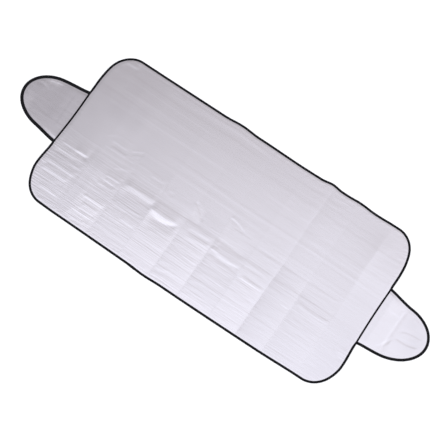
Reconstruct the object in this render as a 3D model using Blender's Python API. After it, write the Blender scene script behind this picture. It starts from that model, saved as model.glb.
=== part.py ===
"""A windshield frost cover that lies flat: a foil-faced foam panel bound with black tape, and a bound
door flap lapped under each of its short sides.

Lengths are in metres. +X runs along the cover, +Y across it and +Z up. The origin is the middle of
the panel, on the surface that the cover lies on.
"""

import math

import bmesh
import bpy

# The panel, a rectangle with elliptical corners
PANEL_LENGTH = 1.450
PANEL_WIDTH = 0.725
CORNER_ALONG = 0.107  # how much of a long side each corner takes
CORNER_ACROSS = 0.133  # how much of a short side each corner takes

# The foil-faced foam that the panel and both flaps are cut from
FOAM_THICKNESS = 0.0025
PRESSED_THICKNESS = 0.0013  # the foam where a binding is stitched through it
PRESSED_MARGIN = 0.0005  # the pressed band runs this far past the binding
SHOULDER = 0.004  # from the pressed band up to the full thickness

# The ribs along the panel's foil face
RIB_PITCH = 0.0295
RIB_DEPTH = 0.0005

# The folds across the panel that putting it away has left. Ridges lift the foam off the ground,
# and nicks are dents in the foil face.
RIDGE_PLACES = (-0.545, -0.238, 0.190, 0.593)  # x of each
RIDGE_HEIGHT = 0.002
RIDGE_HALF_WIDTH = 0.025
NICK_PLACES = (-0.390, -0.095, 0.043, 0.316, 0.438)  # x of each
NICK_DEPTH = 0.0008
NICK_HALF_WIDTH = 0.008

# The low fold along the panel, which follows one of its ribs
LONG_FOLD_RIB = -4  # ribs from the middle
LONG_FOLD_HEIGHT = 0.0012
LONG_FOLD_FADE = 0.060  # the length in which it dies out at each end

# The tape that is folded round each edge
TAPE_THICKNESS = 0.0006
PANEL_TAPE_WIDTH = 0.0085
FLAP_TAPE_WIDTH = 0.0105
CLEARANCE = 0.0003  # between pieces that touch
TAPE_FOLD_RADIUS = 0.0012
TAPE_LAP_X = -0.165  # the middle of the overlap where the panel's tape meets itself
TAPE_LAP_LENGTH = 0.025
TAPE_LAP_STEP = 0.001

# The door flaps, tongues with straight tapering sides and an elliptical tip
FLAP_REACH = 0.234  # past the panel's short side
FLAP_LAP = 0.018  # under the panel
FLAP_TIP_RUN = 0.159
FLAP_TIP_HALF_WIDTH = 0.1156
FLAP_SIDE_TAPER = 0.15  # how much each side comes in for each unit of length
FLAP_SHIFT = 0.0065  # the flaps sit this far to the +Y side of the panel's middle

# How the panel rises to lie on a flap
RISE_MARGIN = 0.003  # it is fully up this far round the flap
RISE_RUN = 0.060  # along the cover
RISE_SPREAD = 0.045  # to each side of the flap

CORNER_STEPS = 12
TIP_STEPS = 24
RISE_STEPS = 3
FOLD_STEPS = 2  # in each quarter turn of the tape's fold
SAME_PLACE = 1e-6  # a cut this near to a corner goes through it
SMOOTH_BEND_DEG = 30  # bends up to this are shaded smooth

# What follows from the sizes above
HALF_LENGTH = PANEL_LENGTH / 2
HALF_WIDTH = PANEL_WIDTH / 2
STRAIGHT_HALF_LENGTH = HALF_LENGTH - CORNER_ALONG
EDGE_INSET = TAPE_THICKNESS + CLEARANCE  # from the tape's outside to the foam's edge
BINDING_HEIGHT = 2 * EDGE_INSET + PRESSED_THICKNESS
FOLD_RADIUS = min(TAPE_FOLD_RADIUS, 2 * TAPE_THICKNESS, 0.4 * BINDING_HEIGHT)  # leaves a wall
RISE_HEIGHT = max(BINDING_HEIGHT, FOAM_THICKNESS) + CLEARANCE
RISE_TOP = FLAP_LAP + RISE_MARGIN  # the length of panel that lies fully up on a flap
LONG_FOLD_Y = LONG_FOLD_RIB * RIB_PITCH


def clamp(value):
    return min(1.0, max(0.0, value))


def smooth(value):
    """0 up to 0, 1 from 1 on, and an even S between."""
    value = clamp(value)
    return value * value * (3 - 2 * value)


def tent(distance, half_width):
    """1 at no distance, falling evenly to 0 at half_width."""
    return clamp(1 - abs(distance) / half_width)


# Outlines. A rim point is (x, y, out_x, out_y), with out a unit vector that points off the sheet.


def rim_point(x, y, out_x, out_y):
    size = math.hypot(out_x, out_y)
    return x, y, out_x / size, out_y / size


def inset(point, distance):
    """The place this far in from a rim point."""
    x, y, out_x, out_y = point
    return x - distance * out_x, y - distance * out_y


def arc(centre, runs, start, turn, steps):
    """Rim points along part of an upright ellipse, with both of its ends."""
    points = []
    for step in range(steps + 1):
        angle = start + turn * step / steps
        cosine = math.cos(angle)
        sine = math.sin(angle)
        x = centre[0] + runs[0] * cosine
        y = centre[1] + runs[1] * sine
        points.append(rim_point(x, y, cosine / runs[0], sine / runs[1]))
    return points


def clear_of_corners(places, half_width):
    """The folds that lie between the panel's corners."""
    return [x for x in places if abs(x) + half_width < STRAIGHT_HALF_LENGTH + SAME_PLACE]


def ridges():
    return clear_of_corners(RIDGE_PLACES, RIDGE_HALF_WIDTH)


def nicks():
    return clear_of_corners(NICK_PLACES, NICK_HALF_WIDTH)


def fold_stops():
    """x of the lines at which the folds bend the panel."""
    stops = []
    for places, half_width in ((ridges(), RIDGE_HALF_WIDTH), (nicks(), NICK_HALF_WIDTH)):
        for x in places:
            stops += [x - half_width, x, x + half_width]
    return stops


def lap_stops():
    """x of the steps at which the lapped tape thickens and thins again."""
    half = TAPE_LAP_LENGTH / 2
    return [
        TAPE_LAP_X - half,
        TAPE_LAP_X - half + TAPE_LAP_STEP,
        TAPE_LAP_X + half - TAPE_LAP_STEP,
        TAPE_LAP_X + half,
    ]


def rise_stops_x():
    """x of the lines at which the panel bends to rise on its flaps."""
    stops = []
    for step in range(RISE_STEPS + 1):
        x = HALF_LENGTH - RISE_TOP - RISE_RUN * step / RISE_STEPS
        stops += [-x, x]
    return stops


def rise_stops_y():
    """y of the same lines beside the flaps."""
    stops = []
    for step in range(RISE_STEPS + 1):
        reach = flap_base_half_width() + RISE_MARGIN + RISE_SPREAD * step / RISE_STEPS
        stops += [FLAP_SHIFT - reach, FLAP_SHIFT + reach]
    return stops


def rib_stops():
    """y of each crest and hollow of the panel's ribs."""
    count = math.floor(2 * HALF_WIDTH / RIB_PITCH)
    return [RIB_PITCH / 2 * number for number in range(-count, count + 1)]


def panel_rim():
    """The panel's outline, anticlockwise from the lower end of its right side."""
    centre_x = STRAIGHT_HALF_LENGTH
    centre_y = HALF_WIDTH - CORNER_ACROSS
    runs = (CORNER_ALONG, CORNER_ACROSS)
    quarter = math.pi / 2
    along = [x for x in fold_stops() if abs(x) < centre_x]
    below = sorted(along + [x for x in lap_stops() if abs(x) < centre_x])
    across = sorted(y for y in rise_stops_y() if abs(y) < centre_y)
    rim = [rim_point(HALF_LENGTH, y, 1, 0) for y in across]
    rim += arc((centre_x, centre_y), runs, 0, quarter, CORNER_STEPS)
    rim += [rim_point(x, HALF_WIDTH, 0, 1) for x in sorted(along, reverse=True)]
    rim += arc((-centre_x, centre_y), runs, quarter, quarter, CORNER_STEPS)
    rim += [rim_point(-HALF_LENGTH, y, -1, 0) for y in reversed(across)]
    rim += arc((-centre_x, -centre_y), runs, 2 * quarter, quarter, CORNER_STEPS)
    rim += [rim_point(x, -HALF_WIDTH, 0, -1) for x in below]
    rim += arc((centre_x, -centre_y), runs, 3 * quarter, quarter, CORNER_STEPS)
    return rim


def flap_side_meeting():
    """The angle on the tip's ellipse at which a flap's straight side runs into it."""
    return math.atan2(FLAP_TIP_HALF_WIDTH, FLAP_SIDE_TAPER * FLAP_TIP_RUN)


def flap_base_half_width():
    angle = flap_side_meeting()
    tip_x = FLAP_LAP + FLAP_REACH - FLAP_TIP_RUN
    meeting_x = tip_x + FLAP_TIP_RUN * math.cos(angle)
    return FLAP_TIP_HALF_WIDTH * math.sin(angle) + FLAP_SIDE_TAPER * meeting_x


def flap_rim():
    """A flap's outline without its raw base, anticlockwise. x is 0 at the base, and grows to the tip."""
    angle = flap_side_meeting()
    base = flap_base_half_width()
    centre = (FLAP_LAP + FLAP_REACH - FLAP_TIP_RUN, 0)
    runs = (FLAP_TIP_RUN, FLAP_TIP_HALF_WIDTH)
    rim = [rim_point(0, -base, FLAP_SIDE_TAPER, -1)]
    rim += arc(centre, runs, -angle, 2 * angle, TIP_STEPS)
    rim += [rim_point(0, base, FLAP_SIDE_TAPER, 1)]
    return rim


# Heights


def fold_rise(x):
    """How far the ridges lift the panel's underside."""
    return RIDGE_HEIGHT * sum(tent(x - ridge_x, RIDGE_HALF_WIDTH) for ridge_x in ridges())


def long_fold_rise(x, y):
    ends = HALF_LENGTH - RISE_TOP - RISE_RUN
    fade = clamp((ends - abs(x)) / LONG_FOLD_FADE)
    return LONG_FOLD_HEIGHT * fade * tent(y - LONG_FOLD_Y, RIB_PITCH)


def flap_rise(x, y):
    """How far the flap underneath lifts the panel."""
    from_side = HALF_LENGTH - RISE_TOP - abs(x)
    from_flap = abs(y - FLAP_SHIFT) - flap_base_half_width() - RISE_MARGIN
    return RISE_HEIGHT * smooth(1 - from_side / RISE_RUN) * smooth(1 - from_flap / RISE_SPREAD)


def panel_lie(x, y):
    """The height of the panel's underside above the ground."""
    return fold_rise(x) + long_fold_rise(x, y) + flap_rise(x, y)


def flap_lie(x, y):
    return 0.0


def panel_thickness(x, y):
    """The foam's thickness with its ribs and nicks."""
    rib = tent((y / RIB_PITCH + 0.5) % 1.0 - 0.5, 0.5)
    nick = sum(tent(x - nick_x, NICK_HALF_WIDTH) for nick_x in nicks())
    return FOAM_THICKNESS - RIB_DEPTH * (1 - rib) - NICK_DEPTH * nick


def flap_thickness(x, y):
    return FOAM_THICKNESS


# Solids


def cut_face(shape, face, cuts_x, cuts_y):
    """Cuts one flat face along lines across and along the cover."""
    pieces = [face, *face.edges, *face.verts]
    cuts = [((x, 0, 0), (1, 0, 0)) for x in cuts_x] + [((0, y, 0), (0, 1, 0)) for y in cuts_y]
    for place, normal in cuts:
        cut = bmesh.ops.bisect_plane(
            shape, geom=pieces, dist=SAME_PLACE, plane_co=place, plane_no=normal
        )
        pieces = cut["geom"]


def foam_mesh(name, rim, tape_width, lie, thickness, cuts_x=(), cuts_y=()):
    """A sheet of foam inside its binding: pressed thin at the edge, and full from the shoulder in."""
    shape = bmesh.new()
    pressed = shape.verts.layers.float.new("pressed")
    face = shape.faces.new([shape.verts.new((*inset(point, EDGE_INSET), 0)) for point in rim])
    face.normal_update()
    band = tape_width + PRESSED_MARGIN - EDGE_INSET
    for width in (band, SHOULDER):
        bmesh.ops.inset_region(
            shape, faces=[face], thickness=width, use_boundary=True, use_even_offset=True
        )
    for vertex in shape.verts:
        vertex[pressed] = 0 if face in vertex.link_faces else 1
    cut_face(shape, face, cuts_x, cuts_y)
    extruded = bmesh.ops.extrude_face_region(shape, geom=shape.faces[:])
    upper = {item for item in extruded["geom"] if isinstance(item, bmesh.types.BMVert)}
    for vertex in shape.verts:
        x, y, _ = vertex.co
        amount = vertex[pressed]
        if vertex in upper:
            height = (EDGE_INSET + PRESSED_THICKNESS) * amount + thickness(x, y) * (1 - amount)
        else:
            height = EDGE_INSET * amount
        vertex.co.z = lie(x, y) + height
    bmesh.ops.recalc_face_normals(shape, faces=shape.faces[:])
    return finished_mesh(name, shape)


def tape_section(width, laps):
    """(inset, height) points round the folded tape's section. laps adds layers on its upper leg."""
    top = BINDING_HEIGHT + laps * TAPE_THICKNESS
    section = [(width, 0)]
    for centre_height, start in ((FOLD_RADIUS, -math.pi / 2), (top - FOLD_RADIUS, 0)):
        for step in range(FOLD_STEPS + 1):
            angle = start + math.pi / 2 * step / FOLD_STEPS
            distance = FOLD_RADIUS * (1 - math.cos(angle))
            section.append((distance, centre_height + FOLD_RADIUS * math.sin(angle)))
    section += [(width, top), (width, BINDING_HEIGHT - TAPE_THICKNESS)]
    section += [(TAPE_THICKNESS, BINDING_HEIGHT - TAPE_THICKNESS), (TAPE_THICKNESS, TAPE_THICKNESS)]
    section += [(width, TAPE_THICKNESS)]
    return section


def panel_tape_laps(x, y):
    """1 where the panel's tape lies over its own start, on the long side at -Y."""
    steps = (TAPE_LAP_LENGTH / 2 - abs(x - TAPE_LAP_X)) / TAPE_LAP_STEP
    return clamp(steps) if y < 0 else 0


def tape_mesh(name, rim, width, lie, laps=None, closed=True):
    """The tape's section carried round a rim."""
    shape = bmesh.new()
    loops = []
    for point in rim:
        layers = laps(point[0], point[1]) if laps else 0
        loop = []
        for distance, height in tape_section(width, layers):
            x, y = inset(point, distance)
            loop.append(shape.verts.new((x, y, lie(x, y) + height)))
        loops.append(loop)
    pairs = list(zip(loops, loops[1:]))
    if closed:
        pairs.append((loops[-1], loops[0]))
    else:
        shape.faces.new(loops[0])
        shape.faces.new(loops[-1])
    for near, far in pairs:
        for index in range(len(near)):
            shape.faces.new((near[index - 1], near[index], far[index], far[index - 1]))
    bmesh.ops.recalc_face_normals(shape, faces=shape.faces[:])
    return finished_mesh(name, shape)


def finished_mesh(name, shape):
    """The shape as a mesh of triangles, with its soft bends shaded smooth."""
    bmesh.ops.triangulate(shape, faces=shape.faces[:])
    mesh = bpy.data.meshes.new(name)
    shape.to_mesh(mesh)
    shape.free()
    mesh.shade_smooth()
    mesh.set_sharp_from_angle(angle=math.radians(SMOOTH_BEND_DEG))
    return mesh


# Materials and objects


def finish(name, colour, roughness, metallic):
    material = bpy.data.materials.new(name)
    material.use_nodes = True
    shader = material.node_tree.nodes["Principled BSDF"]
    shader.inputs["Base Color"].default_value = (*colour, 1)
    shader.inputs["Roughness"].default_value = roughness
    shader.inputs["Metallic"].default_value = metallic
    return material


def place(name, mesh, material, parent, location=(0, 0, 0), turn=0):
    """One object of the cover, turned about +Z."""
    piece = bpy.data.objects.new(name, mesh)
    bpy.context.scene.collection.objects.link(piece)
    if not mesh.materials:
        mesh.materials.append(material)
    piece.parent = parent
    piece.location = location
    piece.rotation_euler.z = turn
    return piece


def make_panel(cover, foil, tape):
    rim = panel_rim()
    cuts_x = fold_stops() + rise_stops_x()
    cuts_y = rib_stops() + rise_stops_y()
    foam = foam_mesh(
        "cover_panel", rim, PANEL_TAPE_WIDTH, panel_lie, panel_thickness, cuts_x, cuts_y
    )
    binding = tape_mesh("panel_binding", rim, PANEL_TAPE_WIDTH, panel_lie, panel_tape_laps)
    place("cover_panel", foam, foil, cover)
    place("panel_binding", binding, tape, cover)


def make_flaps(cover, foil, tape):
    """Both flaps share their meshes: the left one is the right one turned half round."""
    rim = flap_rim()
    foam = foam_mesh("door_flap", rim, FLAP_TAPE_WIDTH, flap_lie, flap_thickness)
    binding = tape_mesh("flap_binding", rim, FLAP_TAPE_WIDTH, flap_lie, closed=False)
    for side, x, turn in (("left", -1, math.pi), ("right", 1, 0)):
        location = (x * (HALF_LENGTH - FLAP_LAP), FLAP_SHIFT, 0)
        place(f"{side}_door_flap", foam, foil, cover, location, turn)
        place(f"{side}_flap_binding", binding, tape, cover, location, turn)


def main():
    for old in list(bpy.data.objects):
        bpy.data.objects.remove(old, do_unlink=True)
    cover = bpy.data.objects.new("frost_cover", None)
    bpy.context.scene.collection.objects.link(cover)
    foil = finish("satin_foil", (0.80, 0.785, 0.83), 0.4, 0.9)
    tape = finish("black_woven_tape", (0.012, 0.012, 0.014), 0.8, 0.0)
    make_panel(cover, foil, tape)
    make_flaps(cover, foil, tape)


main()
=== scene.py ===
"""The look of a windshield frost cover that lies flat on a white floor: a creased satin foil panel and
its two door flaps, bound in black woven tape and stitched with black thread.

Lengths are in metres except where a comment says millimetres. +X runs along the cover, +Y across it
and +Z up, as in the part. A sheet's places are first named on the cover as it was cut, and then
drift by a few millimetres to where the sewn edge has pulled them.
"""

import math
from collections import namedtuple

import bpy
import numpy as np
from mathutils import Matrix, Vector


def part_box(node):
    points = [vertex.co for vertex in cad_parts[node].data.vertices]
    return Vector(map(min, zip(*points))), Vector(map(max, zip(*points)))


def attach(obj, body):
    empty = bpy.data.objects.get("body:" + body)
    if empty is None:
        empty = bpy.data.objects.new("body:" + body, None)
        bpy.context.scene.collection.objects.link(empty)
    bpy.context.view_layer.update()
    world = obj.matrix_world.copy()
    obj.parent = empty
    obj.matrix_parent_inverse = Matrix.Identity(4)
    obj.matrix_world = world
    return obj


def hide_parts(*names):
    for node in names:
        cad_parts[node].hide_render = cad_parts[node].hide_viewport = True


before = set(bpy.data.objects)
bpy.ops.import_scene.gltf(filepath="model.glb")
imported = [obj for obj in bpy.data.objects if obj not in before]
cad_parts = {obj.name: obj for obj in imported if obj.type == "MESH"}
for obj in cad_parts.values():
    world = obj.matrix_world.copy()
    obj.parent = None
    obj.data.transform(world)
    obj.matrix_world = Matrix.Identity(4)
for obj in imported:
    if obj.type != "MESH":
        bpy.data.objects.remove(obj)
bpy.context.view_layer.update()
bpy.ops.object.select_all(action="DESELECT")
bpy.context.scene.view_settings.view_transform = "Standard"

MM = 0.001
PER_CENT = 0.01

# The panel as cut. Its length and width are those of the frame.
PANEL_LOW, PANEL_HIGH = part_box("panel_binding")
HALF_LENGTH = (PANEL_HIGH[0] - PANEL_LOW[0]) / 2
HALF_WIDTH = (PANEL_HIGH[1] - PANEL_LOW[1]) / 2
CORNER_ALONG = 0.107  # how much of a long side each corner takes
CORNER_ACROSS = 0.133  # how much of a short side each corner takes

# The door flaps, measured from the flap's base, which lies under the panel
FLAP_LOW, FLAP_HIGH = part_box("right_flap_binding")
FLAP_BASE_X = FLAP_LOW[0]
FLAP_LENGTH = FLAP_HIGH[0] - FLAP_LOW[0]
FLAP_LAP = 0.018  # under the panel
FLAP_TIP_RUN = 0.159
FLAP_TIP_HALF_WIDTH = 0.1156
FLAP_SIDE_TAPER = 0.15  # how much each side comes in for each unit of length
FLAP_SHIFT = 0.0065  # the flaps sit this far to the +Y side of the panel's middle

# The sheet
FOAM_THICKNESS = 0.0025
PRESSED_THICKNESS = 0.0013  # where a binding is stitched through it
SHOULDER = 0.007  # from the pressed band up to the full thickness
FLAP_SHOULDER = 0.013
FLAP_PRESSED_TOP = 0.0024  # the flap's foil under its own tape
UNDER_FOAM = 0.0009  # how far the pressed foam lies above the binding's underside
FOAM_INSET = 0.0022  # from the tape's outer fold to the foam's edge
FLOOR_GAP = 0.0001

# The tape
TAPE_THICKNESS = 0.0006
PANEL_TAPE_WIDTH = 0.0096
NARROW_TAPE_WIDTH = 0.0074  # what shows of the panel's tape beside a flap
FLAP_TAPE_WIDTH = {"left": 0.0136, "right": 0.0112}
BINDING_HEIGHT = 0.0031
PRESSED_BINDING_HEIGHT = 0.0020  # the flap's tape where the panel lies on it
TAPE_FOLD_RADIUS = 0.0011
TAPE_START_X = -0.1775  # where the panel's tape starts, on the long side at -Y
TAPE_LAP_LENGTH = 0.025
LAP_STEP = 0.003  # the run in which its tape comes up onto its other end

# Stitching
STITCH_PITCH = 0.0034
STITCH_LENGTH = 0.0027
THREAD_RADIUS = 0.00024
SEAM_FROM_TAPE_EDGE = 0.0019
SEAM_DIP = 0.00026  # how far the stitches draw the tape in

# Mesh fineness
PANEL_COLUMNS = 290
PANEL_ROWS = 315
FLAP_COLUMNS = 100
FLAP_ROWS = 100
UNDERSIDE_STRIDE = 5  # the underside has one cell for this many of the foil's, each way
RIM_STEP = 0.005
CORNER_STEPS = 30
TIP_STEPS = 72


def smooth(value):
    """0 up to 0, 1 from 1 on, and an even S between."""
    value = np.clip(value, 0.0, 1.0)
    return value * value * (3 - 2 * value)


def soft_step(value):
    """A step from 0 to 1 about 0, about 2 units wide and with soft ends."""
    return 0.5 + 0.5 * np.tanh(value)


def bump(value, middle, reach):
    """1 at the middle, falling smoothly to 0 at reach on either side."""
    return smooth(1 - np.abs(value - middle) / reach)


def bumps(value, places):
    """The sum of (middle, reach, height) bumps, all in millimetres."""
    return sum(height * MM * bump(value, middle * MM, reach * MM) for middle, reach, height in places)


# How the sewn edges have drifted from the cut, in millimetres: middle, reach and how far out
FAR_SIDE_DRIFT = ((-130, 85, 5.4), (303, 50, 6.0), (160, 190, -2.6), (436, 60, 2.6), (520, 70, -2.0))
NEAR_SIDE_DRIFT = ((20, 650, 5.2), (-112, 85, 3.2), (640, 240, -4.8), (-640, 90, -2.4))
LEFT_END_DRIFT = ((6, 205, -4.9), (-218, 80, 4.0), (250, 60, -2.2))
RIGHT_END_DRIFT = ((6, 205, -3.2), (-215, 80, 3.0), (268, 80, -4.0))
PANEL_EASE = 0.0012  # how far the whole edge has eased outwards
CORNER_EASE = 0.0010  # and how much further the corners have
STILL_WIDTH = 0.5  # the share of the panel's width, in its middle, that hasn't drifted
STILL_LENGTH = 0.75  # and of its length


def panel_half_length(y):
    """How far the cut panel reaches along x at this y."""
    into_corner = np.clip((np.abs(y) - (HALF_WIDTH - CORNER_ACROSS)) / CORNER_ACROSS, 0, 1)
    return HALF_LENGTH - CORNER_ALONG + CORNER_ALONG * np.sqrt(1 - into_corner**2)


def from_edge(x, y):
    """How far in from the cut panel's edge a place is."""
    across = np.abs(x) - (HALF_LENGTH - CORNER_ALONG)
    up = np.abs(y) - (HALF_WIDTH - CORNER_ACROSS)
    straight = np.minimum(CORNER_ALONG - across, CORNER_ACROSS - up)
    share = np.sqrt((across / CORNER_ALONG) ** 2 + (up / CORNER_ACROSS) ** 2)
    fall = np.sqrt((across / CORNER_ALONG**2) ** 2 + (up / CORNER_ACROSS**2) ** 2)
    rounded = (1 - share) * share / np.maximum(fall, 1e-9)
    return np.where((across > 0) & (up > 0), rounded, straight)


def drifted(x, y):
    """Where a place of the cut panel has drifted to."""
    along = np.where(y > 0, bumps(x, FAR_SIDE_DRIFT), -bumps(x, NEAR_SIDE_DRIFT))
    ends = np.where(x > 0, bumps(y, RIGHT_END_DRIFT), -bumps(y, LEFT_END_DRIFT))
    up = smooth((np.abs(y) - STILL_WIDTH * HALF_WIDTH) / ((1 - STILL_WIDTH) * HALF_WIDTH))
    out = smooth((np.abs(x) - STILL_LENGTH * HALF_LENGTH) / ((1 - STILL_LENGTH) * HALF_LENGTH))
    ease = PANEL_EASE + CORNER_EASE * up * out
    return x * (1 + ease / HALF_LENGTH) + ends * out, y * (1 + ease / HALF_WIDTH) + along * up


FLAP_MEETING_ANGLE = math.atan2(FLAP_TIP_HALF_WIDTH, FLAP_SIDE_TAPER * FLAP_TIP_RUN)
FLAP_TIP_X = FLAP_LENGTH - FLAP_TIP_RUN  # where the elliptical tip has its centre
FLAP_MEETING_X = FLAP_TIP_X + FLAP_TIP_RUN * math.cos(FLAP_MEETING_ANGLE)
FLAP_MEETING_Y = FLAP_TIP_HALF_WIDTH * math.sin(FLAP_MEETING_ANGLE)
FLAP_BASE_HALF_WIDTH = FLAP_MEETING_Y + FLAP_SIDE_TAPER * FLAP_MEETING_X

# How the panel lies on a flap
RISE_HEIGHT = 0.0021
RISE_TOP = 0.012  # the length of panel that lies fully up on a flap
RISE_RUN = 0.300
RISE_SPREAD = 0.215


def flap_rise(x, y):
    """How far the flap underneath lifts the panel."""
    from_end = HALF_LENGTH - RISE_TOP - np.abs(x)
    from_flap = np.abs(y - FLAP_SHIFT) - FLAP_BASE_HALF_WIDTH
    return RISE_HEIGHT * smooth(1 - from_end / RISE_RUN) * smooth(1 - from_flap / RISE_SPREAD)


# The folds across the panel, from when it was packed. Places and sizes are in millimetres: where the
# fold is, how high the whole sheet stands along it on the near (-Y) and the far (+Y) side of the long
# fold (0 or less for a valley), how far that reaches to -X and to +X, and how deep the film's own
# crease is, near and far.
Fold = namedtuple("Fold", "x near far left right crease_near crease_far")
FOLDS = (
    Fold(-545, 0.25, 0.15, 34, 60, 0.00, 0.01),
    Fold(-390, -0.10, 0.0, 26, 26, 0.04, 0.00),
    Fold(-238, 0.12, 0.05, 22, 22, -0.03, -0.01),
    Fold(-95, -0.25, -0.05, 22, 26, 0.05, 0.01),
    Fold(43, -0.35, -0.05, 18, 18, 0.12, 0.01),
    Fold(190, 0.20, 0.10, 18, 26, -0.06, -0.02),
    Fold(316, -0.70, -0.25, 16, 34, 0.30, 0.08),
    Fold(438, -0.35, -0.10, 20, 22, 0.14, 0.03),
    Fold(593, 0.40, 0.60, 44, 30, 0.00, -0.04),
)
FOLD_ROUNDING = 0.002
WANDER = ((0.0020, 17, 1), (0.0011, 47, 2))  # how far, radians for each metre, and times the seed
FOLD_LIFT = 0.0007  # how far the folds, together, hold the sheet off the floor
LIFT_START = 0.004  # from the edge, and the run in which the sheet then comes up
LIFT_RUN = 0.150
CREASE_REACH = 0.0045
CREASE_WEAR = (0.3, 61)  # the share that wear takes here and there, radians for each metre
LONG_FOLD_Y = -0.118
LONG_FOLD_HEIGHT = 0.0003
LONG_FOLD_REACH = 0.050
FAR_SIDE_Y = 0.02  # from here on the film is as calm as on the whole far side
NEAR_SIDE_Y = -0.18  # and up to here as lively as on the whole near side


def near_share(y):
    """1 on the near side of the long fold, 0 well on its far side."""
    return smooth((FAR_SIDE_Y - y) / (FAR_SIDE_Y - NEAR_SIDE_Y))


def ridge(across, left, right):
    """1 at the line, falling away from it within left on its -X side and right on its +X side."""
    reach = np.where(across < 0, left, right) * MM
    away = np.sqrt(across**2 + FOLD_ROUNDING**2) - FOLD_ROUNDING
    return np.exp(-away / reach)


def fold_wander(y, seed):
    """How far the line of a fold has wandered to +X at this y."""
    return sum(size * np.sin(y * pace + share * seed) for size, pace, share in WANDER)


def beside_fold(x, y, fold):
    """How far a place is from a fold's line."""
    return x - fold.x * MM - fold_wander(y, fold.x)


def sheet_lie(x, y):
    """How high the whole sheet lies: the folds' ridges and valleys, eased down to the floor at the edge."""
    inner = smooth((from_edge(x, y) - LIFT_START) / LIFT_RUN)
    near = near_share(y)
    height = FOLD_LIFT + LONG_FOLD_HEIGHT * bump(y, LONG_FOLD_Y, LONG_FOLD_REACH)
    for fold in FOLDS:
        across = beside_fold(x, y, fold)
        strength = fold.far + (fold.near - fold.far) * near
        height = height + MM * strength * ridge(across, fold.left, fold.right)
    return flap_rise(x, y) + inner * height


def fold_creases(x, y):
    """The narrow crease that each fold has left in the film."""
    near = near_share(y)
    wear, pace = CREASE_WEAR
    depth = np.zeros_like(x)
    for fold in FOLDS:
        across = beside_fold(x, y, fold)
        strength = fold.crease_far + (fold.crease_near - fold.crease_far) * near
        worn = 1 - wear + wear * np.sin(y * pace + fold.x)
        depth += MM * strength * worn * np.exp(-np.abs(across) / CREASE_REACH)
    return depth


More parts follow.
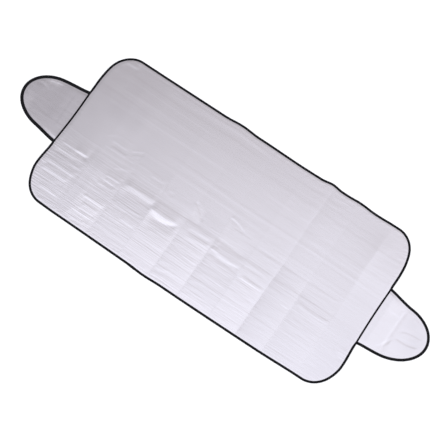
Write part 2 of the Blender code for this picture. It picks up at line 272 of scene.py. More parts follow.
# Lines of the film, in millimetres: where each starts and ends, how steep it is in per cent (bright
# where it is positive, for it faces the light, and dark where it is negative), half its width, how far
# the film takes to come back on either side, and how far its middle bows to +Y
LINES = (
    # left end to the first fold
    (-690, -103, -566, -101, 5.1, 3.4, 36, 0),
    (-698, -136, -592, -134, 4.7, 3.4, 26, 0),
    (-712, -150, -560, -148, -2.8, 6.0, 26, 0),
    (-712, -182, -566, -178, -2.8, 7.0, 26, 0),
    (-696, -198, -562, -197, 5.1, 3.0, 27, 0),
    (-716, -211, -684, -211, 7.0, 3.0, 22, 0),
    (-694, -232, -574, -230, 7.3, 3.4, 33, 0),
    (-664, -303, -574, -302, 5.3, 3.0, 22, 0),
    (-680, -262, -600, -260, 2.7, 2.2, 17, 0),
    (-676, 318, -612, 322, 5.5, 5.0, 22, 0),
    # first to second fold
    (-529, 15, -452, 14, 3.7, 2.6, 12, 0),
    (-520, -3, -440, -5, -4.9, 4.0, 14, 0),
    (-538, -17, -400, -16, 2.8, 2.2, 12, 0),
    (-466, -116, -398, -116, 6.7, 3.0, 22, 0),
    (-462, -137, -410, -137, 5.8, 3.0, 20, 0),
    (-478, -150, -404, -150, -3.2, 5.0, 16, 0),
    (-482, -163, -404, -163, 4.0, 2.2, 17, 0),
    (-496, -225, -394, -224, -3.2, 4.5, 14, 0),
    (-490, -236, -394, -234, 5.1, 4.4, 28, 0),
    (-484, -258, -402, -257, -2.4, 3.0, 10, 0),
    (-474, -268, -400, -267, 5.9, 3.2, 22, 0),
    (-478, -281, -404, -280, 5.8, 3.2, 22, 0),
    (-502, -303, -410, -302, 5.9, 3.2, 22, 0),
    (-510, -319, -430, -318, 5.8, 3.2, 22, 0),
    (-500, -336, -420, -335, 4.7, 3.0, 20, 0),
    # second to third fold
    (-388, 1, -252, 0, -1.8, 4.0, 16, 0),
    (-318, -17, -250, -17, 4.2, 3.2, 14, 0),
    (-376, -172, -260, -174, -6.1, 2.2, 10, -3),
    (-372, -180, -246, -182, 5.1, 2.4, 17, 0),
    (-372, -199, -310, -199, 5.1, 2.2, 17, 0),
    (-318, -232, -246, -232, 6.8, 3.0, 20, 0),
    # third to fourth fold
    (-224, -30, -188, -29, 4.2, 3.0, 12, 3),
    (-222, -42, -190, -41, -3.6, 3.0, 10, -3),
    # fourth to fifth fold
    (-70, -108, 28, -108, 4.2, 5.0, 18, 0),
    (-72, -126, 36, -126, -4.2, 4.5, 18, 0),
    (-90, -139, 36, -139, 2.9, 2.2, 10, 0),
    (-90, -147, 36, -147, 2.4, 2.0, 10, 0),
    (-90, -156, 36, -156, -2.9, 2.6, 10, 0),
    # fifth to sixth fold
    (46, -125, 186, -128, 7.6, 4.8, 24, -13),
    (80, -136, 160, -137, 6.8, 3.0, 14, 0),
    (46, -154, 186, -155, -5.1, 4.0, 16, 0),
    (60, -100, 176, -98, -4.2, 8.0, 26, 0),
    (75, -10, 164, -10, -4.0, 3.0, 12, 0),
    (70, -231, 184, -232, 6.0, 2.4, 12, 0),
    (70, -241, 150, -241, 4.2, 2.0, 10, 0),
    # sixth to seventh fold
    (195, -103, 305, -103, 5.1, 3.4, 16, 0),
    (203, -149, 311, -149, -7.6, 4.6, 18, 0),
    (196, -162, 313, -162, 6.8, 3.0, 14, 0),
    (200, -17, 305, -17, 3.5, 2.6, 12, 0),
    (193, -115, 221, -134, -8.5, 3.0, 10, 0),
    # seventh to eighth fold
    (340, 192, 376, 192, 2.5, 3.0, 14, 0),
    (394, -159, 434, -159, 11.0, 2.4, 12, 0),
    (398, 70, 431, 70, 2.5, 3.0, 12, 0),
    (398, 18, 431, 18, 2.5, 3.0, 12, 0),
    # eighth to ninth fold
    (446, -17, 592, -17, -3.0, 3.2, 14, -5),
    (446, -28, 592, -27, 3.0, 3.2, 14, -5),
    (446, -108, 592, -108, -6.0, 3.6, 16, -6),
    (446, -122, 592, -121, 6.0, 3.4, 16, -6),
    # right end
    (684, -176, 728, -176, 12.0, 4.0, 14, 0),
    (676, -190, 728, -190, 15.0, 5.0, 18, 0),
    (680, -203, 728, -203, 12.0, 4.0, 14, 0),
    (672, -127, 716, -127, 5.1, 3.2, 12, 0),
    (672, 255, 716, 255, 2.5, 3.0, 12, 0),
    # one long rib
    (200, 138, 704, 139, 1.2, 3.0, 12, 0),
    (200, 145, 704, 146, -1.2, 3.0, 12, 0),
    # slanting crumples
    (-562, 14, -520, 42, 2.5, 2.2, 9, 2),
    (-438, 18, -388, 46, 4.4, 2.0, 8, 2),
    (-432, 4, -384, 32, -4.0, 2.0, 8, 2),
    (-459, -80, -384, -47, 2.2, 3.4, 20, 3),
    (-108, -6, -44, -66, -9.0, 3.0, 14, 4),
    (-100, 4, -40, -50, 3.1, 4.0, 16, 3),
    (42, 21, 122, 0, 8.0, 3.2, 14, 4),
    (44, 20, 68, -26, -5.4, 3.0, 12, 0),
    (-250, 2, -243, -62, -2.7, 3.0, 10, 0),
)
LINE_END = 0.010  # the run in which a line dies out at either end
# The same for the wide bright ones, which fade out over a longer run
WIDE_LINES = (
    (-634, -101, -560, -100, 9.0, 4.0, 40, 0),
    (-378, -102, -232, -100, 4.4, 3.6, 34, 0),
    (-388, -109, -230, -107, 6.4, 4.4, 40, 0),
    (-378, -117, -232, -115, 5.6, 4.0, 34, 0),
    (-246, -124, -106, -122, 7.0, 4.2, 44, -10),
    (-246, -130, -106, -126, 9.4, 4.0, 44, -11),
    (-240, -137, -114, -131, 9.5, 3.6, 44, -10),
    (-234, -144, -126, -138, 7.0, 3.6, 40, -7),
    (-226, -150, -142, -146, 3.5, 3.6, 34, -4),
)
WIDE_LINE_END = 0.026


def slope_and_back(aside, steep, half_width, back):
    """The height of a slope about 0, this steep, from which the film comes back on either side."""
    return 2 * steep * half_width * (soft_step(aside / half_width) - soft_step(aside / back))


def film_line(x, y, line, end_run=LINE_END):
    """The height of one line of the film at each place."""
    x0, y0, x1, y1 = [value * MM for value in line[:4]]
    steep = line[4] * PER_CENT
    half_width, back, bow = [value * MM for value in line[5:]]
    length = math.hypot(x1 - x0, y1 - y0)
    along_x = (x1 - x0) / length
    along_y = (y1 - y0) / length
    along = (x - x0) * along_x + (y - y0) * along_y
    share = np.clip(along / length, 0, 1)
    aside = (y - y0) * along_x - (x - x0) * along_y - bow * 4 * share * (1 - share)
    ends = smooth(along / end_run) * smooth((length - along) / end_run)
    return slope_and_back(aside, steep, half_width, back) * ends


# The blocks between the folds, as far as their ribs and fine streaks reach, in millimetres, and how
# lively those are on the near and on the far side of the long fold
Block = namedtuple("Block", "start end near far")
BLOCKS = (
    Block(-706, -564, 0.36, 0.06),
    Block(-506, -393, 0.45, 0.07),
    Block(-388, -242, 0.36, 0.07),
    Block(-234, -98, 0.45, 0.08),
    Block(-91, 40, 0.62, 0.10),
    Block(46, 187, 0.62, 0.14),
    Block(193, 313, 0.74, 0.20),
    Block(330, 435, 0.56, 0.24),
    Block(442, 590, 0.56, 0.26),
    Block(596, 714, 0.50, 0.28),
)
BLOCK_MARGIN = 0.012  # a block's own film ends within this of its start and end
BLOCK_END_RUN = 0.006  # where its ribs and streaks begin and stop
RIB_PITCHES = ((0.0295, 1.6), (0.0088, 2.8))  # and how steep each is, in per cent
RIB_SWAY = (0.16, 70, 0.03)  # how far in pitches, radians for each metre, and the most slant
RIB_FADE = (0.4, 33, 19)  # the share that comes and goes, radians for each metre of y and of x
# The streaks, each number drawn from a range: how far on the next one is, how steep it is in per
# cent, half its width and its way back in millimetres, its half run and its middle as shares of the
# block, and its slant
STREAK_SEED = 23
STREAK_SIDES = (1, 1, 1, -0.45)  # most face the light
STREAK_START = 0.012  # from the edge at -Y
STREAK_GAP = (0.004, 0.011)
STREAK_STEEP = (1.5, 7.0)
STREAK_HALF_WIDTH = (1.5, 2.6)
STREAK_BACK = (7, 16)
STREAK_HALF_RUN = (0.18, 0.52)
STREAK_MIDDLE = (-0.4, 0.4)
STREAK_SLANT = (-0.015, 0.015)
STREAK_END = 0.35  # the share of its half run in which it dies out


def streaks(x, y):
    """The film's ribs and its fine streaks along the cover, which stop at each fold."""
    chance = np.random.default_rng(STREAK_SEED)
    swing, sway_pace, slant = RIB_SWAY
    faded, fade_y, fade_x = RIB_FADE
    height = np.zeros_like(x)
    near_here = near_share(y)
    for block in BLOCKS:
        start, end = block.start * MM, block.end * MM
        middle, run = (start + end) / 2, end - start
        inside = (x > start - BLOCK_MARGIN) & (x < end + BLOCK_MARGIN)
        here_x, here_y = x[inside], y[inside]
        lively = block.far + (block.near - block.far) * near_here[inside]
        held = smooth((here_x - start) / BLOCK_END_RUN) * smooth((end - here_x) / BLOCK_END_RUN)
        total = np.zeros_like(here_x)
        for pitch, steep in RIB_PITCHES:
            turn = chance.uniform(0, 2 * math.pi)
            sway = swing * pitch * np.sin(here_x * sway_pace + turn)
            sway += slant * (here_x - middle) * chance.uniform(-1, 1)
            fade = 1 - faded + faded * np.sin(here_y * fade_y + here_x * fade_x + turn)
            rib = np.cos(2 * math.pi * (here_y + sway) / pitch)
            total += fade * steep * PER_CENT * pitch / (2 * math.pi) * rib
        place = -HALF_WIDTH + STREAK_START
        while place < HALF_WIDTH:
            place += chance.uniform(*STREAK_GAP)
            steep = chance.choice(STREAK_SIDES) * chance.uniform(*STREAK_STEEP) * PER_CENT
            half_width = chance.uniform(*STREAK_HALF_WIDTH) * MM
            back = chance.uniform(*STREAK_BACK) * MM
            half_run = run * chance.uniform(*STREAK_HALF_RUN)
            centre = middle + chance.uniform(*STREAK_MIDDLE) * run
            tilt = chance.uniform(*STREAK_SLANT)
            ends = smooth((half_run - np.abs(here_x - centre)) / (STREAK_END * half_run))
            aside = here_y - place - tilt * (here_x - centre)
            total += slope_and_back(aside, steep, half_width, back) * ends
        height[inside] += held * lively * total
    return height


# The same for the broad streaks that run on across the folds, with their half run in metres
LONG_STREAK_SEED = 31
LONG_STREAK_GAP = (0.006, 0.017)
LONG_STREAK_STEEP = (0.5, 1.9)
LONG_STREAK_HALF_WIDTH = (2.6, 6.0)
LONG_STREAK_BACK = (10, 24)
LONG_STREAK_HALF_RUN = (0.16, 0.60)
LONG_STREAK_END = 0.5
LONG_STREAK_GROWTH = 0.5  # how much steeper they are at +X than at -X
LONG_STREAK_WANDER = (0.002, 9, 50)  # how far, radians for each metre, and the turn between streaks


def long_streaks(x, y):
    """Faint broad streaks that run on across the folds."""
    chance = np.random.default_rng(LONG_STREAK_SEED)
    swing, pace, turn = LONG_STREAK_WANDER
    growing = 1.0 + LONG_STREAK_GROWTH * smooth((x + HALF_LENGTH) / (2 * HALF_LENGTH))
    height = np.zeros_like(x)
    place = -HALF_WIDTH
    while place < HALF_WIDTH:
        place += chance.uniform(*LONG_STREAK_GAP)
        steep = chance.choice((1, -1)) * chance.uniform(*LONG_STREAK_STEEP) * PER_CENT
        half_width = chance.uniform(*LONG_STREAK_HALF_WIDTH) * MM
        back = chance.uniform(*LONG_STREAK_BACK) * MM
        half_run = chance.uniform(*LONG_STREAK_HALF_RUN)
        centre = chance.uniform(-HALF_LENGTH, HALF_LENGTH)
        ends = smooth((half_run - np.abs(x - centre)) / (LONG_STREAK_END * half_run))
        aside = y - place - swing * np.sin(x * pace + place * turn)
        height += slope_and_back(aside, steep, half_width, back) * ends
    return height * growing


# The puckers beside the tape: (share, waves, and how far and how fast each train of waves strays)
PUCKER_TRAINS = ((1.0, 190, 3, 31), (0.6, 330, 2, 53))
PUCKER_HEIGHT = 0.00010
PUCKER_REACH = 0.010  # at full height this far in from the edge, and then dying out
ROUND_THE_RIM = (0.5, 0.9)  # what makes the angle about the middle a run along the rim, roughly


def puckers(x, y, depth):
    """The short waves that the stitching draws into the sheet beside the tape."""
    squash, radius = ROUND_THE_RIM
    run = np.abs(np.arctan2(y, x * squash)) * radius
    waves = np.zeros_like(run)
    for share, pace, stray, stray_pace in PUCKER_TRAINS:
        waves += share * np.sin(run * pace + stray * np.sin(run * stray_pace))
    return PUCKER_HEIGHT * waves * np.exp(-np.maximum(depth - PUCKER_REACH, 0) / PUCKER_REACH)


def panel_top(x, y):
    """The height of the foil."""
    depth = from_edge(x, y)
    full = smooth((depth - PANEL_TAPE_WIDTH) / SHOULDER)
    relief = streaks(x, y) + long_streaks(x, y) + puckers(x, y, depth) - fold_creases(x, y)
    for line in LINES:
        relief = relief + film_line(x, y, line)
    for line in WIDE_LINES:
        relief = relief + film_line(x, y, line, WIDE_LINE_END)
    pressed = UNDER_FOAM + PRESSED_THICKNESS
    return sheet_lie(x, y) + pressed * (1 - full) + (FOAM_THICKNESS + relief) * full


def panel_bottom(x, y):
    """The height of the foam's underside."""
    full = smooth((from_edge(x, y) - PANEL_TAPE_WIDTH) / SHOULDER)
    return sheet_lie(x, y) + UNDER_FOAM * (1 - full) + FLOOR_GAP * full


# Facets of the film that lie at their own slight twist and so look a few per cent lighter or darker
# than the rest. The sheet isn't twisted there: that look is painted into the foil's colour as painted
# light and painted shade. From x to x and from y to y in millimetres, the painted light (above 0) and
# shade (below 0) in per cent at the -X and at the +X end, and how soft the edges are along x and along y
PAINTED_FACETS = (
    # near side, block by block
    (-712, -566, -198, -142, -3.5, -3.0, 10, 12),
    (-566, -506, -330, -60, -4.0, -4.0, 24, 60),
    (-510, -394, -346, -222, 4.0, 9.0, 18, 26),
    (-390, -240, -190, -140, -2.5, -2.0, 12, 8),
    (-390, -240, -352, -196, 2.0, 3.5, 16, 30),
    (-236, -97, -358, -160, 3.2, 6.0, 16, 60),
    (-93, 41, -358, -120, 0.5, 5.0, 16, 50),
    (45, 188, -310, -190, -2.0, -0.5, 12, 20),
    (45, 188, -358, -310, 3.0, 3.0, 12, 20),
    (192, 314, -358, -150, 1.0, 5.0, 12, 30),
    (318, 436, -358, -20, -6.5, 2.0, 9, 50),
    (440, 591, -358, -60, -3.5, 0.5, 12, 50),
    (596, 712, -320, -80, -1.0, -2.0, 16, 50),
    # the long fold's own facets
    (-232, -124, -157, -124, 5.0, 1.5, 14, 12),
    (-378, -242, -123, -94, 1.0, 3.0, 12, 8),
    (-396, -242, 4, 38, -2.5, -2.5, 12, 8),
    (-96, -50, -70, -14, 5.5, 2.0, 10, 18),
    (-52, 42, -84, -10, -2.5, -2.5, 12, 14),
    (48, 186, -96, 6, 2.0, 0.5, 12, 20),
    # far side
    (-610, -455, 90, 350, -4.0, -3.0, 60, 70),
    (-740, -470, -70, 190, -4.0, -3.0, 60, 80),
    (318, 372, 20, 356, -1.4, 0.0, 10, 40),
    (590, 716, 60, 356, 2.6, 2.0, 34, 60),
)


def between(value, low, high, soft):
    """1 from low to high and 0 outside them, with edges this soft, all in millimetres but the value."""
    past_low = (value - low * MM) / (soft * MM) + 0.5
    before_high = (high * MM - value) / (soft * MM) + 0.5
    return smooth(past_low) * smooth(before_high)


def panel_painted_light_shade(x, y):
    """The painted light (above 0) and painted shade (below 0) in the foil's colour here, in per cent."""
    tone = np.zeros_like(x)
    for start, end, low, high, left_light_shade, right_light_shade, soft_x, soft_y in PAINTED_FACETS:
        here = x - fold_wander(y, start)
        along = (here - start * MM) / ((end - start) * MM)
        share = between(here, start, end, soft_x) * between(y, low, high, soft_y)
        tone += share * (left_light_shade + (right_light_shade - left_light_shade) * np.clip(along, 0, 1))
    return tone


def panel_block(x):
    """The number of the block that a place is in."""
    return np.searchsorted([fold.x * MM for fold in FOLDS], x).astype(float)


# Sheets


def linked(name, mesh):
    piece = bpy.data.objects.new(name, mesh)
    bpy.context.scene.collection.objects.link(piece)
    return piece


def sheet_object(name, x, y, top, bottom, materials, surface):
    """A closed sheet from grids of places and heights, its rows running to +Y and its columns to +X.
    Its underside is coarser than its foil. surface holds the foil's own attributes, its painted light and
    shade among them."""
    rows, columns = x.shape
    stride = UNDERSIDE_STRIDE
    upper = np.stack([x, y, top], 2).reshape(-1, 3)
    lower_x = x[::stride, ::stride]
    lower = np.stack([lower_x, y[::stride, ::stride], bottom[::stride, ::stride]], 2).reshape(-1, 3)
    lower_columns = lower_x.shape[1]

    def above(row, column):
        return row * columns + column

    def below(row, column):
        return len(upper) + (row // stride) * lower_columns + column // stride

    faces = []
    for row in range(rows - 1):
        for column in range(columns - 1):
            corners = ((row, column), (row, column + 1), (row + 1, column + 1), (row + 1, column))
            faces.append([above(*corner) for corner in corners])
    foil_faces = len(faces)
    for row in range(0, rows - 1, stride):
        for column in range(0, columns - 1, stride):
            far_row = row + stride
            far_column = column + stride
            corners = ((row, column), (far_row, column), (far_row, far_column), (row, far_column))
            faces.append([below(*corner) for corner in corners])
    last_row = rows - 1
    for column in range(0, columns - 1, stride):
        run = range(column, column + stride + 1)
        near, far = run[0], run[-1]
        faces.append([above(0, c) for c in reversed(run)] + [below(0, near), below(0, far)])
        faces.append([above(last_row, c) for c in run] + [below(last_row, far), below(last_row, near)])
    last = columns - 1
    for row in range(0, rows - 1, stride):
        run = range(row, row + stride + 1)
        near, far = run[0], run[-1]
        faces.append([above(r, 0) for r in run] + [below(far, 0), below(near, 0)])
        faces.append([above(r, last) for r in reversed(run)] + [below(near, last), below(far, last)])
    mesh = bpy.data.meshes.new(name)
    mesh.from_pydata(np.concatenate([upper, lower]), [], faces)
    mesh.shade_smooth()
    under = np.ones(len(faces), dtype=np.int32)
    under[:foil_faces] = 0
    for material in materials:
        mesh.materials.append(material)
    mesh.polygons.foreach_set("material_index", under)
    for label, values in surface.items():
        layer = mesh.attributes.new(label, "FLOAT", "POINT")
        padded = np.concatenate([values.ravel(), np.zeros(len(lower))])
        layer.data.foreach_set("value", padded.astype(np.float32))
    mesh.update()
    return linked(name, mesh)


# Where the panel's columns stand closer together, in millimetres: middle, reach and how much closer
CROWDED = [(fold.x, 9, 2.0) for fold in FOLDS] + [(-470, 100, 0.7), (-75, 45, 0.7), (84, 45, 0.7)]
EVEN_LENGTH = 0.600  # columns nearer the middle than this keep their x on every row
COUNTED_PLACES = 4001  # at which the columns' closeness is worked out
CALM = 0.12  # how lively the far side's brush marks are, where the near side's have 1


def panel_columns():
    """The x of each of the panel's columns in its middle."""
    places = np.linspace(-HALF_LENGTH, HALF_LENGTH, COUNTED_PLACES)
    crowd = np.ones_like(places)
    for middle, reach, closer in CROWDED:
        crowd += closer * np.exp(-((places - middle * MM) / (reach * MM)) ** 4)
    counted = np.cumsum(crowd)
    counted = (counted - counted[0]) / (counted[-1] - counted[0])
    return np.interp(np.linspace(0, 1, PANEL_COLUMNS + 1), counted, places)


def make_panel(materials):
    rows = np.linspace(-(HALF_WIDTH - FOAM_INSET), HALF_WIDTH - FOAM_INSET, PANEL_ROWS + 1)
    columns = panel_columns()
    reach = panel_half_length(rows)[:, None] - FOAM_INSET
    outer = np.clip((np.abs(columns) - EVEN_LENGTH) / (HALF_LENGTH - EVEN_LENGTH), 0, 1)[None, :]
    inner = np.minimum(np.abs(columns), EVEN_LENGTH)[None, :]
    x = np.sign(columns)[None, :] * (inner + outer * (reach - EVEN_LENGTH))
    y = np.repeat(rows[:, None], len(columns), axis=1)
    out_x, out_y = drifted(x, y)
    lively = CALM + (1 - CALM) * near_share(y)
    # The foil's colour gets the facets' painted light and shade.
    surface = {"tone": panel_painted_light_shade(x, y), "block": panel_block(x), "lively": lively}
    return sheet_object("foil_panel", out_x, out_y, panel_top(x, y), panel_bottom(x, y), materials, surface)


# Flaps. Local x runs from the base under the panel to the tip, and local y to +Y.

# How a flap's mid line drifts, in millimetres: local x of the middle, reach and how far to +Y
FLAP_DRIFT = {
    "left": ((40, 70, -2.0), (200, 120, 1.2)),
    "right": ((20, 50, 2.0), (112, 70, -3.4), (252, 90, 4.4)),
}
FLAP_EASE = {"left": 0.0013, "right": 0.0027}  # how far the edge has eased outwards
FLAP_FREE_START = FLAP_LAP - 0.004  # local x from which the panel no longer presses on the flap
FLAP_FREE_RUN = 0.080  # and the run in which it then comes up to its own thickness
FOAM_UNDER_PANEL = 0.0020  # the flap's foam where the panel presses on it

# The lines of the flaps' film, as those of the panel's, in local millimetres
FLAP_LINES = {
    "left": (
        (52, -70, 60, 84, 1.6, 5.0, 20, 0),
        (150, 36, 222, 52, 4.0, 4.0, 20, 4),
        (118, 88, 196, 66, 5.5, 3.6, 18, 3),
        (176, 96, 166, 56, 5.0, 3.0, 12, 2),
        (150, 102, 138, 70, 4.0, 3.0, 12, 2),
        (204, 76, 184, 44, -4.0, 3.4, 12, 2),
        (96, -58, 200, -40, -1.8, 5.0, 20, 4),
        (232, -10, 178, -78, 3.0, 4.0, 16, -6),
        (70, 10, 130, 4, 1.4, 5.0, 20, 0),
    ),
    "right": (
        (116, -100, 120, 96, -6.0, 3.6, 20, 3),
        (104, -92, 108, 88, 7.0, 3.0, 14, 3),
        (128, -22, 226, -14, -7.5, 4.6, 18, -8),
        (132, 8, 222, 18, -7.0, 4.0, 16, 6),
        (126, -14, 214, -2, 7.0, 3.4, 14, -4),
        (118, -24, 80, -92, -8.0, 3.0, 14, 4),
        (126, -30, 92, -96, 6.0, 3.0, 14, 4),
        (120, -32, 132, -104, 6.0, 3.0, 14, -4),
        (62, 8, 116, -4, 5.0, 3.0, 14, 3),
        (60, 52, 110, 56, 5.0, 3.6, 16, 0),
        (150, 84, 214, 58, -6.0, 3.6, 14, 4),
    ),
}
# Their facets, whose painted light (above 0) and painted shade (below 0) go into the foil's colour in the
# same way: local x and y of the middle, how far it reaches along each, and that painted light or shade in
# per cent
FLAP_PAINTED_FACETS = {
    "left": (
        (166, 86, 60, 36, 20.0),
        (204, 34, 30, 22, -5.0),
        (208, -40, 36, 50, 9.0),
        (90, -20, 80, 80, -3.0),
    ),
    "right": (
        (206, 4, 56, 90, -5.0),
        (158, 58, 44, 40, -4.0),
        (66, 62, 44, 50, 4.0),
        (150, -70, 50, 40, 2.0),
    ),
}
FLAP_PAINTED_LIGHT_SHADE = {"left": -13.0, "right": 1.5}  # per cent of painted shade over the whole left flap and of painted light over the right one
PAINTED_LIGHT_BAND = ((0.038, 0.012), (0.118, 0.020), 4.0)  # a band of painted light on the right flap: (local x, soft run) at its start and end, per cent
FLAP_RIB = (0.00002, 0.0295)  # height and pitch
FLAP_RIPPLE = (0.00001, 331, 17)  # height, and radians for each metre of y and of x
FLAP_BLOCK = -3.0  # its own patch of noise
FLAP_LIVELY = 0.2


def flap_half_width(x):
    """The cut flap's half width at local x."""
    share = np.clip((x - FLAP_TIP_X) / FLAP_TIP_RUN, 0, 1)
    rounded = FLAP_TIP_HALF_WIDTH * np.sqrt(1 - share**2)
    return np.where(x < FLAP_MEETING_X, FLAP_BASE_HALF_WIDTH - FLAP_SIDE_TAPER * x, rounded)


def flap_from_edge(x, y):
    """How far in from the flap's bound edge a place is."""
    straight = (FLAP_BASE_HALF_WIDTH - FLAP_SIDE_TAPER * x - np.abs(y)) / math.hypot(1, FLAP_SIDE_TAPER)
    along = np.maximum(x - FLAP_TIP_X, 1e-6)
    share = np.sqrt((along / FLAP_TIP_RUN) ** 2 + (y / FLAP_TIP_HALF_WIDTH) ** 2)
    fall = np.sqrt((along / FLAP_TIP_RUN**2) ** 2 + (y / FLAP_TIP_HALF_WIDTH**2) ** 2)
    rounded = (1 - share) * share / np.maximum(fall, 1e-9)
    return np.where(x > FLAP_TIP_X, np.minimum(straight, rounded), straight)


def flap_freed(x):
    """0 where the panel presses on the flap, 1 past it."""
    return smooth((x - FLAP_FREE_START) / FLAP_FREE_RUN)


def flap_place(side, x, y):
    """Local places of a flap as places in the frame."""
    ease = FLAP_EASE[side]
    across = y * (1 + ease / FLAP_BASE_HALF_WIDTH) + FLAP_SHIFT + bumps(x, FLAP_DRIFT[side])
    out = FLAP_BASE_X + x * (1 + ease / FLAP_LENGTH)
    return (-out if side == "left" else out), across


def make_flap(side, materials):
    columns = np.linspace(0, FLAP_LENGTH - FOAM_INSET, FLAP_COLUMNS + 1)
    share = np.linspace(-1, 1, FLAP_ROWS + 1)
    x = np.repeat(columns[None, :], len(share), axis=0)
    y = share[:, None] * (flap_half_width(columns)[None, :] - FOAM_INSET)
    full = smooth((flap_from_edge(x, y) - FLAP_TAPE_WIDTH[side]) / FLAP_SHOULDER)
    freed = flap_freed(x)
    covered_under = TAPE_THICKNESS + FLOOR_GAP
    covered_top = PRESSED_BINDING_HEIGHT - TAPE_THICKNESS - FLOOR_GAP
    under = covered_under + (UNDER_FOAM - covered_under) * freed
    pressed_top = covered_top + (FLAP_PRESSED_TOP - covered_top) * freed
    thickness = FOAM_UNDER_PANEL + (FOAM_THICKNESS - FOAM_UNDER_PANEL) * freed
    rib_height, rib_pitch = FLAP_RIB
    ripple_height, pace_y, pace_x = FLAP_RIPPLE
    relief = rib_height * np.cos(2 * math.pi * y / rib_pitch)
    relief = relief + ripple_height * np.sin(y * pace_y + x * pace_x)
    for line in FLAP_LINES[side]:
        relief = relief + film_line(x, y, line)
    top = pressed_top * (1 - full) + (thickness + relief) * full
    bottom = under * (1 - full) + FLOOR_GAP * full
    # The flap's colour gets its painted light and shade: over the whole flap, in the band and in the
    # facets.
    tone = np.full_like(x, FLAP_PAINTED_LIGHT_SHADE[side])
    if side == "right":
        (start, start_run), (end, end_run), painted_lighter = PAINTED_LIGHT_BAND
        tone += painted_lighter * smooth((x - start) / start_run) * smooth((end - x) / end_run)
    for middle_x, middle_y, reach_x, reach_y, painted_lighter in FLAP_PAINTED_FACETS[side]:
        tone += painted_lighter * bump(x, middle_x * MM, reach_x * MM) * bump(y, middle_y * MM, reach_y * MM)
    block = np.full_like(x, FLAP_BLOCK)
    surface = {"tone": tone, "block": block, "lively": np.full_like(x, FLAP_LIVELY)}
    out_x, out_y = flap_place(side, x, y)
    grids = [out_x, out_y, top, bottom]
    if side == "left":
        grids = [grid[:, ::-1] for grid in grids]
        surface = {label: values[:, ::-1] for label, values in surface.items()}
    return sheet_object(f"{side}_foil_flap", *grids, materials, surface)


# Tape and thread


def rim_normals(x, y):
    """Unit normals that point off the sheet, for a rim that runs anticlockwise."""
    along_x = np.gradient(x)
    along_y = np.gradient(y)
    size = np.hypot(along_x, along_y)
    return along_y / size, -along_x / size


def run_length(x, y):
    """How far along a rim each of its places is."""
    return np.concatenate([[0], np.cumsum(np.hypot(np.diff(x), np.diff(y)))])


def panel_rim():
    """Cut places round the panel's edge, anticlockwise from the tape's start, as two arrays."""
    straight_x = HALF_LENGTH - CORNER_ALONG
    straight_y = HALF_WIDTH - CORNER_ACROSS
    points = []

    def straight(start, end):
        steps = math.ceil(math.dist(start, end) / RIM_STEP)
        for step in range(steps):
            share = step / steps
            points.append((start[0] + (end[0] - start[0]) * share, start[1] + (end[1] - start[1]) * share))

    def corner(centre, angle):
        for step in range(CORNER_STEPS):
            here = math.radians(angle + 90 * step / CORNER_STEPS)
            x = centre[0] + CORNER_ALONG * math.cos(here)
            points.append((x, centre[1] + CORNER_ACROSS * math.sin(here)))

    lap_end = TAPE_START_X + TAPE_LAP_LENGTH
    straight((TAPE_START_X, -HALF_WIDTH), (straight_x, -HALF_WIDTH))
    corner((straight_x, -straight_y), -90)
    straight((HALF_LENGTH, -straight_y), (HALF_LENGTH, straight_y))
    corner((straight_x, straight_y), 0)
    straight((straight_x, HALF_WIDTH), (-straight_x, HALF_WIDTH))
    corner((-straight_x, straight_y), 90)
    straight((-HALF_LENGTH, straight_y), (-HALF_LENGTH, -straight_y))
    corner((-straight_x, -straight_y), 180)
    straight((-straight_x, -HALF_WIDTH), (TAPE_START_X, -HALF_WIDTH))
    straight((TAPE_START_X, -HALF_WIDTH), (lap_end, -HALF_WIDTH))
    points.append((lap_end, -HALF_WIDTH))
    places = np.array(points)
    return places[:, 0], places[:, 1]


def flap_rim():
    """Cut places round a flap's bound edge in local x and y, from its -Y side to its +Y side."""
    steps = math.ceil(FLAP_MEETING_X / RIM_STEP)
    points = []
    for step in range(steps):
        x = FLAP_MEETING_X * step / steps
        points.append((x, -(FLAP_BASE_HALF_WIDTH - FLAP_SIDE_TAPER * x)))
    for step in range(TIP_STEPS + 1):
        here = FLAP_MEETING_ANGLE * (2 * step / TIP_STEPS - 1)
        x = FLAP_TIP_X + FLAP_TIP_RUN * math.cos(here)
        points.append((x, FLAP_TIP_HALF_WIDTH * math.sin(here)))
    for step in range(steps):
        x = FLAP_MEETING_X * (1 - (step + 1) / steps)
        points.append((x, FLAP_BASE_HALF_WIDTH - FLAP_SIDE_TAPER * x))
    places = np.array(points)
    return places[:, 0], places[:, 1]


# The folded tape's section. Each point is a run along the tape's width and a rise: the run is from
# its free edge, its seam or its fold (in fold radii), and the rise is from the outer face inwards.
LOWER_LEG = (("edge", 0.0, 0.00004), ("seam", 0.0008, 0.0), ("seam", 0.0, SEAM_DIP))
LOWER_LEG += (("seam", -0.0009, 0.0), ("fold", 1.6, 0.0))
UPPER_LEG = (("fold", 2.0, -0.00006), ("seam", -0.0011, 0.0), ("seam", 0.0, SEAM_DIP))
UPPER_LEG += (("seam", 0.0009, 0.0), ("edge", -0.0003, 0.0), ("edge", 0.0, 0.0001))
INNER_DIP = TAPE_THICKNESS + 0.8 * SEAM_DIP
INNER_LEG = (("edge", 0.0, TAPE_THICKNESS), ("seam", 0.0, INNER_DIP), ("fold", 2.0, TAPE_THICKNESS))
INNER_FOLD_HALF = 0.0002  # half the height of the flat inside the fold
FOLD_SPARE = 0.00005  # what is left of half the height past the fold's radius, at least
FOLD_STEPS = 3  # in each quarter turn


